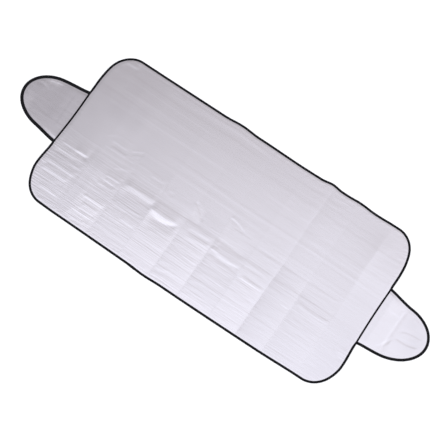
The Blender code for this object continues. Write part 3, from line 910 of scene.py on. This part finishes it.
def tape_section(width, height):
    """(inset, height) pairs round the folded tape's section, whose legs dip where they are stitched."""
    radius = min(TAPE_FOLD_RADIUS, height / 2 - FOLD_SPARE)
    bases = {"edge": width, "seam": width - SEAM_FROM_TAPE_EDGE, "fold": 0.0}

    def place(base, run, rise, upper):
        inset = bases[base] + run * (radius if base == "fold" else 1)
        return inset, (height - rise if upper else rise)

    section = [place(*point, False) for point in LOWER_LEG]
    for centre, start in ((radius, -90), (height - radius, 0)):
        for step in range(FOLD_STEPS + 1):
            angle = math.radians(start + 90 / FOLD_STEPS * step)
            section.append((radius * (1 - math.cos(angle)), centre + radius * math.sin(angle)))
    section += [place(*point, True) for point in UPPER_LEG + INNER_LEG]
    for side in (1, -1):
        section.append((TAPE_THICKNESS, height / 2 + side * INNER_FOLD_HALF))
    return section + [place(*point, False) for point in reversed(INNER_LEG)]


SHARP_BEND_DEG = 50  # the tape's bends from here on are shaded sharp


def strip_object(name, sections, run, material):
    """A closed strip through sections of equal length, each a list of points, with both ends capped.
    Its UV map holds metres along the strip and metres round its section."""
    count = len(sections[0])
    last = len(sections) * count - count
    faces = [list(range(count)), [last + index for index in range(count)][::-1]]
    first = np.array(sections[0])
    around = np.hypot.reduce(np.roll(first, -1, axis=0) - first, axis=1)
    around = np.concatenate([[0], np.cumsum(around)])
    corners = [(0.0, 0.0)] * (2 * count)
    for row in range(len(sections) - 1):
        for index in range(count):
            after = (index + 1) % count
            near = row * count
            far = near + count
            faces.append([near + index, far + index, far + after, near + after])
            here, there = around[index], around[index + 1]
            corners += [(run[row], here), (run[row + 1], here), (run[row + 1], there), (run[row], there)]
    points = [point for section in sections for point in section]
    mesh = bpy.data.meshes.new(name)
    mesh.from_pydata(points, [], faces)
    layer = mesh.uv_layers.new(name="along_and_around")
    layer.uv.foreach_set("vector", np.array(corners, dtype=np.float32).ravel())
    mesh.shade_smooth()
    mesh.set_sharp_from_angle(angle=math.radians(SHARP_BEND_DEG))
    mesh.materials.append(material)
    return linked(name, mesh)


STITCH_SIDES = ((-1, -1), (-1, 0.6), (0, 1.0), (1, 0.6), (1, -1))  # half widths across and up
STITCH_RINGS = ((-0.5, -0.9), (-0.34, 0.5), (0.34, 0.5), (0.5, -0.9))  # lengths along, and radii up
STITCH_SLANT = 0.10
SLANT_SPREAD = 0.05
STITCH_LENGTHS = (0.94, 1.04)  # shares of STITCH_LENGTH
STITCH_SEED = 5
LOOK_AHEAD = 0.001  # along the rim, to find a stitch's direction


def thread_object(name, seams, material):
    """The stitches of several seams. Each seam gives arrays of x, y, height and direction on its rim,
    with 1 for a seam on the upper face and -1 for one on the underside."""
    chance = np.random.default_rng(STITCH_SEED)
    sides = len(STITCH_SIDES)
    rings = len(STITCH_RINGS)
    one = []
    corners = []
    for ring in range(rings - 1):
        for side in range(sides):
            after = (side + 1) % sides
            start = ring * sides
            one.append([start + side, start + sides + side, start + sides + after, start + after])
            u, v = ring / rings, side / sides
            corners += [(u, v), (u + 1 / rings, v), (u + 1 / rings, v + 1 / sides), (u, v + 1 / sides)]
    one.append(list(range(sides)))
    one.append([(rings - 1) * sides + side for side in range(sides)][::-1])
    corners += [(0.0, side / sides) for side in range(2 * sides)]
    points = []
    faces = []
    for x, y, height, up in seams:
        run = run_length(x, y)
        count = int(run[-1] / STITCH_PITCH)
        for stitch in range(count):
            here = (stitch + 0.5) * STITCH_PITCH
            middle = np.array([np.interp(here, run, part) for part in (x, y, height)])
            ahead = np.array([np.interp(here + LOOK_AHEAD, run, part) for part in (x, y, height)]) - middle
            ahead = ahead / np.linalg.norm(ahead)
            aside = np.cross((0, 0, 1), ahead) * up
            slant = STITCH_SLANT + chance.uniform(-SLANT_SPREAD, SLANT_SPREAD)
            length = STITCH_LENGTH * chance.uniform(*STITCH_LENGTHS)
            first = len(points)
            for along, rise in STITCH_RINGS:
                centre = middle + ahead * along * length + aside * along * length * slant
                for wide, tall in STITCH_SIDES:
                    lifted = up * THREAD_RADIUS * (rise + tall)
                    points.append(centre + aside * wide * THREAD_RADIUS + np.array([0, 0, lifted]))
            faces += [[first + index for index in face] for face in one]
    mesh = bpy.data.meshes.new(name)
    mesh.from_pydata(points, [], faces)
    layer = mesh.uv_layers.new(name="along_and_around")
    every = np.tile(np.array(corners, dtype=np.float32), (len(faces) // len(one), 1))
    layer.uv.foreach_set("vector", every.ravel())
    mesh.shade_smooth()
    mesh.materials.append(material)
    return linked(name, mesh)


UPPER_STITCH = 0.4  # thread radii from the dipped tape up to a stitch's middle
LOWER_STITCH = 1.6  # thread radii from the tape's lowest place up to a stitch's middle


def bind(name, rim, lie, widths, heights, tape, thread):
    """A binding and its stitching along a rim of places. The seam runs on both faces."""
    x, y = rim
    out_x, out_y = rim_normals(x, y)
    sections = []
    for index in range(len(x)):
        section = []
        for inset, level in tape_section(widths[index], heights[index]):
            place_x = x[index] - inset * out_x[index]
            section.append((place_x, y[index] - inset * out_y[index], lie[index] + level))
        sections.append(section)
    strip = strip_object(f"{name}_tape", sections, run_length(x, y), tape)
    seam_x = x - (widths - SEAM_FROM_TAPE_EDGE) * out_x
    seam_y = y - (widths - SEAM_FROM_TAPE_EDGE) * out_y
    upper = lie + heights - SEAM_DIP + THREAD_RADIUS * UPPER_STITCH
    lower = lie + THREAD_RADIUS * LOWER_STITCH
    seams = [(seam_x, seam_y, upper, 1), (seam_x, seam_y, lower, -1)]
    return strip, thread_object(f"{name}_thread", seams, thread)


# Where the panel's tape shows narrow beside a flap: from the panel's end, and past the flap's side
NARROW_FROM_END = 0.012
NARROW_END_RUN = 0.006
NARROW_PAST_FLAP = 0.012
NARROW_FLAP_RUN = 0.025
# The lapped end of the panel's tape: tape thicknesses that it stands out, and how much higher and
# wider it is
LAP_OUT = 1.1
LAP_HIGHER = 0.0007
LAP_WIDER = 0.0009


def make_panel_binding(tape, thread):
    cut_x, cut_y = panel_rim()
    beside = smooth((np.abs(cut_x) - (HALF_LENGTH - NARROW_FROM_END)) / NARROW_END_RUN)
    flap_side = FLAP_BASE_HALF_WIDTH + NARROW_PAST_FLAP
    spread = smooth((flap_side - np.abs(cut_y - FLAP_SHIFT)) / NARROW_FLAP_RUN)
    widths = PANEL_TAPE_WIDTH - (PANEL_TAPE_WIDTH - NARROW_TAPE_WIDTH) * beside * spread
    x, y = drifted(cut_x, cut_y)
    run = run_length(x, y)
    over = smooth((TAPE_LAP_LENGTH + LAP_STEP - (run[-1] - run)) / LAP_STEP)
    inside = smooth((TAPE_LAP_LENGTH + 2 * LAP_STEP - run) / LAP_STEP)
    out_x, out_y = rim_normals(x, y)
    outwards = over * TAPE_THICKNESS * LAP_OUT
    rim = x + outwards * out_x, y + outwards * out_y
    lie = flap_rise(cut_x, cut_y) + inside * TAPE_THICKNESS
    heights = BINDING_HEIGHT + (over - inside) * LAP_HIGHER
    widths = widths + over * LAP_WIDER
    return bind("panel", rim, lie, widths, heights, tape, thread)


def make_flap_binding(side, tape, thread):
    cut_x, cut_y = flap_rim()
    x, y = flap_place(side, cut_x, cut_y)
    if side == "left":
        cut_x, x, y = cut_x[::-1], x[::-1], y[::-1]
    heights = PRESSED_BINDING_HEIGHT + (BINDING_HEIGHT - PRESSED_BINDING_HEIGHT) * flap_freed(cut_x)
    widths = np.full_like(x, FLAP_TAPE_WIDTH[side])
    return bind(f"{side}_flap", (x, y), np.zeros_like(x), widths, heights, tape, thread)


# Camera, light and floor

LENS = 100.47  # on a sensor 36 mm wide
SENSOR_WIDTH = 36
CAMERA_TURNS = (-14.45, 1.30, -34.16)  # degrees about X, Y and Z, from the frame to the camera
CENTRE_SEEN_AT = (0.01637, -0.00404, -4.759)  # the frame's origin as the camera sees it


def make_camera():
    data = bpy.data.cameras.new("camera")
    data.lens = LENS
    data.sensor_width = SENSOR_WIDTH
    camera = bpy.data.objects.new("camera", data)
    bpy.context.scene.collection.objects.link(camera)
    seen = Matrix.Translation(CENTRE_SEEN_AT)
    for axis, degrees in zip("XYZ", CAMERA_TURNS):
        seen = seen @ Matrix.Rotation(math.radians(degrees), 4, axis)
    camera.matrix_world = seen.inverted()
    bpy.context.scene.camera = camera


class Shade:
    """An output socket of a shader node. Python's sums on it add Math nodes."""

    def __init__(self, tree, socket=None):
        self.tree = tree
        self.socket = socket

    def add(self, kind, settings=None, inputs=None, output=0):
        """A new node's output. Its settings are set first, and then its sockets' values or links."""
        node = self.tree.nodes.new(kind)
        for name, value in (settings or {}).items():
            if name == "stops":
                for place, colour in value[2:]:
                    node.color_ramp.elements.new(place)
                for element, (place, colour) in zip(node.color_ramp.elements, value):
                    element.position = place
                    element.color = colour
            else:
                setattr(node, name, value)
        for name, value in (inputs or {}).items():
            if isinstance(value, Shade):
                self.tree.links.new(value.socket, node.inputs[name])
            else:
                node.inputs[name].default_value = value
        return Shade(self.tree, node.outputs[output])

    def maths(self, operation, first, second=0.0):
        return self.add("ShaderNodeMath", {"operation": operation}, {0: first, 1: second})

    def __add__(self, other):
        return self.maths("ADD", self, other)

    def __sub__(self, other):
        return self.maths("SUBTRACT", self, other)

    def __mul__(self, other):
        return self.maths("MULTIPLY", self, other)

    def __rsub__(self, other):
        return self.maths("SUBTRACT", other, self)

    __radd__ = __add__
    __rmul__ = __mul__

    def part(self, axis):
        """The X, Y or Z part of a vector, as axis is 0, 1 or 2."""
        return self.add("ShaderNodeSeparateXYZ", {}, {0: self}, output=axis)

    def sine(self):
        return self.maths("SINE", self)

    def falling(self):
        """1 at 0, falling towards 0 like a bell as the value grows."""
        return self.maths("EXPONENT", self * -1)

    def limited(self):
        return self.add("ShaderNodeClamp", {}, {"Value": self})

    def eased(self, low, high):
        """0 below low, 1 above high, and an even S between."""
        settings = {"interpolation_type": "SMOOTHSTEP"}
        return self.add("ShaderNodeMapRange", settings, {"Value": self, "From Min": low, "From Max": high})

    def mixed(self, first, second):
        """From the first colour to the second as this value goes from 0 to 1."""
        settings = {"data_type": "RGBA"}
        return self.add("ShaderNodeMix", settings, {0: self, 6: first, 7: second}, output=2)

    def feed(self, shader, name):
        self.tree.links.new(self.socket, shader.inputs[name])


# The soft light: pale near the horizon all round, and overhead a wide bright softbox on the +X -Y
# side that falls off to a dimmer ceiling on the other side
LIGHT_ANGLE = math.radians(-62)  # the way in which the light grows, from +X
LIGHT_STOPS = (
    # how far that way, and the light there
    (-0.90, 0.27),
    (-0.55, 0.38),
    (-0.40, 0.59),
    (-0.30, 0.76),
    (-0.26, 0.88),
    (-0.22, 1.04),
    (-0.16, 1.13),
    (0.00, 1.20),
    (0.30, 1.38),
)
DIM_TINT = (1.09, 1.0, 0.98)
BRIGHT_TINT = (0.98, 1.0, 1.07)
# Darker gaps at the softbox's ends: (middle, reach, share of the light that is missing)
GAPS = (((-0.330, 0.215), (0.115, 0.130), 0.42), ((0.080, 0.120), (0.100, 0.090), 0.22))
HORIZON_LIGHT = 0.78
HORIZON_HEIGHTS = (0.25, 0.70)  # where the horizon's light starts and ends giving way to the softbox


def make_world():
    world = bpy.data.worlds.new("studio")
    bpy.context.scene.world = world
    world.use_nodes = True
    tree = world.node_tree
    start = Shade(tree)
    towards = start.add("ShaderNodeTexCoord", output=0)
    east, north, up = [towards.part(axis) for axis in range(3)]
    along = east * math.cos(LIGHT_ANGLE) + north * math.sin(LIGHT_ANGLE)
    first = LIGHT_STOPS[0][0]
    span = LIGHT_STOPS[-1][0] - first
    strongest = LIGHT_STOPS[-1][1]
    stops = []
    for place, level in LIGHT_STOPS:
        share = level / strongest
        tint = [dim + (bright - dim) * share for dim, bright in zip(DIM_TINT, BRIGHT_TINT)]
        stops.append(((place - first) / span, (*[share * part for part in tint], 1)))
    overhead = start.add("ShaderNodeValToRGB", {"stops": stops}, {0: (along - first) * (1 / span)})
    for middle, reach, depth in GAPS:
        aside = (east - middle[0]) * (1 / reach[0])
        beyond = (north - middle[1]) * (1 / reach[1])
        gap = (aside * aside + beyond * beyond).falling() * depth
        overhead = gap.mixed(overhead, (0, 0, 0, 1))
    level = HORIZON_LIGHT / strongest
    light = up.eased(*HORIZON_HEIGHTS).mixed((level, level, level, 1), overhead)
    background = tree.nodes["Background"]
    light.feed(background, "Color")
    background.inputs["Strength"].default_value = strongest


FLOOR_HALF_SIZE = 30.0
FLOOR_PAINT = (0.80, 0.80, 0.80, 1)
FLOOR_GLOW = 0.40  # what lifts the lit floor to white, and leaves the cover's shadow on it
RAYS = (0, 3, 6)  # Light Path's camera, glossy and transmission rays


def make_floor():
    """A wide white floor that the camera sees as white, with the cover's shadow on it."""
    half = FLOOR_HALF_SIZE
    corners = [(-half, -half, 0), (half, -half, 0), (half, half, 0), (-half, half, 0)]
    mesh = bpy.data.meshes.new("floor")
    mesh.from_pydata(corners, [], [(0, 1, 2, 3)])
    floor = linked("floor", mesh)
    material = bpy.data.materials.new("white_floor")
    material.use_nodes = True
    tree = material.node_tree
    start = Shade(tree)
    camera_ray, glossy_ray, through_ray = [start.add("ShaderNodeLightPath", output=ray) for ray in RAYS]
    seen = (camera_ray + glossy_ray + through_ray).limited()
    paint = start.add("ShaderNodeBsdfDiffuse", {}, {"Color": FLOOR_PAINT})
    glow = start.add("ShaderNodeEmission", {}, {"Color": (1, 1, 1, 1), "Strength": seen * FLOOR_GLOW})
    shown = start.add("ShaderNodeAddShader", {}, {0: paint, 1: glow})
    shown.feed(tree.nodes["Material Output"], "Surface")
    mesh.materials.append(material)


# Materials


def new_material(name, constants):
    """A material, its shader and a start for its nodes. constants go on the shader's own sockets."""
    material = bpy.data.materials.new(name)
    material.use_nodes = True
    shader = material.node_tree.nodes["Principled BSDF"]
    for label, value in constants.items():
        shader.inputs[label].default_value = value
    return material, shader, Shade(material.node_tree)


def raised(height, distance, strength):
    """The normal of a surface with this small relief, its height from 0 to 1 standing for distance."""
    inputs = {"Height": height, "Distance": distance, "Strength": strength}
    return height.add("ShaderNodeBump", {}, inputs)


def stretched_noise(start, scales, shift, detail=2.0, roughness=0.5):
    """Noise from about 0 to 1 on Object coordinates, with its own scale along X, Y and Z."""
    place = start.add("ShaderNodeTexCoord", output=3)
    place = start.add("ShaderNodeMapping", {}, {"Vector": place, "Scale": scales})
    moved = start.add("ShaderNodeCombineXYZ", {}, {0: shift, 1: shift, 2: 0.0})
    place = start.add("ShaderNodeVectorMath", {"operation": "ADD"}, {0: place, 1: moved})
    inputs = {"Vector": place, "Scale": 1.0, "Detail": detail, "Roughness": roughness}
    return start.add("ShaderNodeTexNoise", {}, inputs)


# The ends of the foil's colour, reached by its painted shade and painted light and a little by its own
# grain
FOIL_SHADE_AND_DARK_GRAIN = (0.640, 0.620, 0.662, 1)
FOIL_LIGHT_AND_LIGHT_GRAIN = (0.960, 0.942, 0.996, 1)
FOIL_ROUGHNESS = 0.21
LIGHT_SHADE_SPAN = 20.0  # per cent of painted shade, or of painted light, that takes the foil's own colour to its darkest or lightest end
BLOCK_SHIFT = 7.3  # how far each block's noise is from the next one's
BRUSH_SCALES = (8.0, 190.0, 1.0)  # cells for each metre
FINE_BRUSH_SCALES = (20.0, 900.0, 1.0)
CRINKLE_SCALES = (150.0, 190.0, 1.0)
CLOUD_SCALES = (7.0, 12.0, 1.0)
FILM_RELIEF = (0.00030, 1.0)  # the brush marks' height, and how strongly it shows
FOIL_GRAIN = (0.03, 0.04)  # how far the fine brush marks and the clouds change the colour
FOIL_DULLING = (0.06, 0.05)  # and the roughness
FOIL_RELIEF = (0.05, 0.03)  # the fine brush marks' and the crinkle's height, in brush marks


def foil_material():
    """Metallised film on foam: brushed along the cover, finely crinkled, and duller in patches, with
    painted light and shade in its colour.
    """
    material, shader, start = new_material("satin_foil", {"Metallic": 1.0})
    # The sheets' attributes: their painted light and shade for the colour, their block, and how lively the
    # film is
    tone = start.add("ShaderNodeAttribute", {"attribute_name": "tone"}, output=2)
    block = start.add("ShaderNodeAttribute", {"attribute_name": "block"}, output=2)
    lively = start.add("ShaderNodeAttribute", {"attribute_name": "lively"}, output=2)
    shift = block * BLOCK_SHIFT
    brush = stretched_noise(start, BRUSH_SCALES, shift, detail=1.0)
    fine_brush = stretched_noise(start, FINE_BRUSH_SCALES, shift, roughness=0.6)
    crinkle = stretched_noise(start, CRINKLE_SCALES, shift)
    cloud = stretched_noise(start, CLOUD_SCALES, 0.0, detail=3.0)
    fine, clouded = fine_brush - 0.5, cloud - 0.5
    grain = fine * FOIL_GRAIN[0] + clouded * FOIL_GRAIN[1]
    # The base colour: the foil's own colour with the sheets' painted light and shade, and its fine grain
    # and clouds
    shown = (tone * (0.5 / LIGHT_SHADE_SPAN) + 0.5 + grain).limited()
    shown.mixed(FOIL_SHADE_AND_DARK_GRAIN, FOIL_LIGHT_AND_LIGHT_GRAIN).feed(shader, "Base Color")
    (FOIL_ROUGHNESS + clouded * FOIL_DULLING[1] + fine * FOIL_DULLING[0]).feed(shader, "Roughness")
    height = (brush + fine_brush * FOIL_RELIEF[0] + crinkle * FOIL_RELIEF[1]) * lively
    raised(height, *FILM_RELIEF).feed(shader, "Normal")
    return material


FOAM_WHITE = (0.86, 0.86, 0.85, 1)
FOAM_GREY = (0.76, 0.76, 0.76, 1)
FOAM_CELLS = 420.0  # for each metre
FOAM_CLOUD_SCALES = (14.0, 14.0, 14.0)
FOAM_UNEVEN = 0.9  # how much the cells differ, from 0 to 1
FOAM_MOTTLE = (0.5, 0.6)  # how far the cells and the clouds change the colour
FOAM_ROUGHNESS = (0.62, 0.2)  # in the middle of a cell, and how much more at its wall
FOAM_RELIEF = (0.00035, 0.7)


def foam_material():
    """White closed-cell foam: fine cells, a little uneven in colour."""
    material, shader, start = new_material("white_foam", {"Specular IOR Level": 0.35})
    place = start.add("ShaderNodeTexCoord", output=3)
    inputs = {"Vector": place, "Scale": FOAM_CELLS, "Randomness": FOAM_UNEVEN}
    cells = start.add("ShaderNodeTexVoronoi", {}, inputs)
    cloud = stretched_noise(start, FOAM_CLOUD_SCALES, 0.0, detail=3.0)
    mottle = (cells * FOAM_MOTTLE[0] + (cloud - 0.5) * FOAM_MOTTLE[1]).limited()
    mottle.mixed(FOAM_WHITE, FOAM_GREY).feed(shader, "Base Color")
    (FOAM_ROUGHNESS[0] + cells * FOAM_ROUGHNESS[1]).feed(shader, "Roughness")
    raised(1 - cells, *FOAM_RELIEF).feed(shader, "Normal")
    return material


TAPE_RIB = 0.00115  # the pitch of the tape's weave, across its length
TAPE_YARN = 0.00085  # and along it
TAPE_BLACK = (0.0045, 0.0045, 0.0055, 1)
TAPE_WORN = (0.014, 0.014, 0.017, 1)
TAPE_FUZZ_SCALES = (900.0, 900.0, 900.0)
TAPE_CLOUD_SCALES = (30.0, 30.0, 30.0)
WEAVE_SHARES = (0.25, 0.25, 0.35)  # of the warp, the weft and their crossings
TAPE_WEAR = (0.30, 0.35, 0.5, 0.5)  # all over, and by the weave, the fuzz and the clouds
TAPE_ROUGHNESS = (0.78, 0.08)  # all over, and by the weave
TAPE_HEIGHTS = (0.5, 0.25)  # the weave's and the fuzz's share of the relief
TAPE_RELIEF = (0.00016, 0.8)


def tape_material():
    """Matt black tape: a plain weave of ribs across it and yarns along it."""
    material, shader, start = new_material("black_woven_tape", {"Specular IOR Level": 0.12})
    place = start.add("ShaderNodeUVMap", {"uv_map": "along_and_around"})
    along, around = place.part(0), place.part(1)
    warp = (along * (2 * math.pi / TAPE_RIB)).sine()
    weft = (around * (2 * math.pi / TAPE_YARN)).sine()
    over = (along * (math.pi / TAPE_RIB)).sine() * (around * (math.pi / TAPE_YARN)).sine()
    weave = warp * WEAVE_SHARES[0] + weft * WEAVE_SHARES[1] + over * WEAVE_SHARES[2]
    fuzz = stretched_noise(start, TAPE_FUZZ_SCALES, 0.0)
    cloud = stretched_noise(start, TAPE_CLOUD_SCALES, 0.0)
    everywhere, by_weave, by_fuzz, by_cloud = TAPE_WEAR
    worn = everywhere + weave * by_weave + (fuzz - 0.5) * by_fuzz + (cloud - 0.5) * by_cloud
    worn.limited().mixed(TAPE_BLACK, TAPE_WORN).feed(shader, "Base Color")
    (TAPE_ROUGHNESS[0] + weave * TAPE_ROUGHNESS[1]).feed(shader, "Roughness")
    raised(weave * TAPE_HEIGHTS[0] + fuzz * TAPE_HEIGHTS[1], *TAPE_RELIEF).feed(shader, "Normal")
    return material


THREAD_BLACK = (0.006, 0.006, 0.007, 1)
THREAD_SHEEN = (0.030, 0.030, 0.034, 1)
THREAD_STRANDS = 9.0  # turns of the twist in each stitch
THREAD_ROUGHNESS = (0.62, 0.15)  # between the strands, and how much less on them
THREAD_RELIEF = (0.00008, 0.6)


def thread_material():
    """Twisted black polyester thread, a little glossier than the tape."""
    material, shader, start = new_material("black_thread", {"Specular IOR Level": 0.3})
    place = start.add("ShaderNodeUVMap", {"uv_map": "along_and_around"})
    along, around = place.part(0), place.part(1)
    strand = ((along * THREAD_STRANDS + around) * (2 * math.pi)).sine() * 0.5 + 0.5
    strand.mixed(THREAD_BLACK, THREAD_SHEEN).feed(shader, "Base Color")
    (THREAD_ROUGHNESS[0] - strand * THREAD_ROUGHNESS[1]).feed(shader, "Roughness")
    raised(strand, *THREAD_RELIEF).feed(shader, "Normal")
    return material


def put_together(sheet, binding, replaced):
    """Ties a sheet and its (tape, thread) to the frame."""
    tape, thread = binding
    for piece, finish in ((sheet, "satin_foil"), (tape, "woven_tape"), (thread, "woven_tape")):
        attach(piece, "root")
    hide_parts(replaced[0])
    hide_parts(replaced[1])


def main():
    make_camera()
    make_world()
    make_floor()
    sheet_finish = [foil_material(), foam_material()]
    tape = tape_material()
    thread = thread_material()
    panel = make_panel(sheet_finish)
    binding = make_panel_binding(tape, thread)
    replaced = ("cover_panel", "panel_binding")
    put_together(panel, binding, replaced)
    for side in ("left", "right"):
        flap = make_flap(side, sheet_finish)
        binding = make_flap_binding(side, tape, thread)
        replaced = (f"{side}_door_flap", f"{side}_flap_binding")
        put_together(flap, binding, replaced)


main()
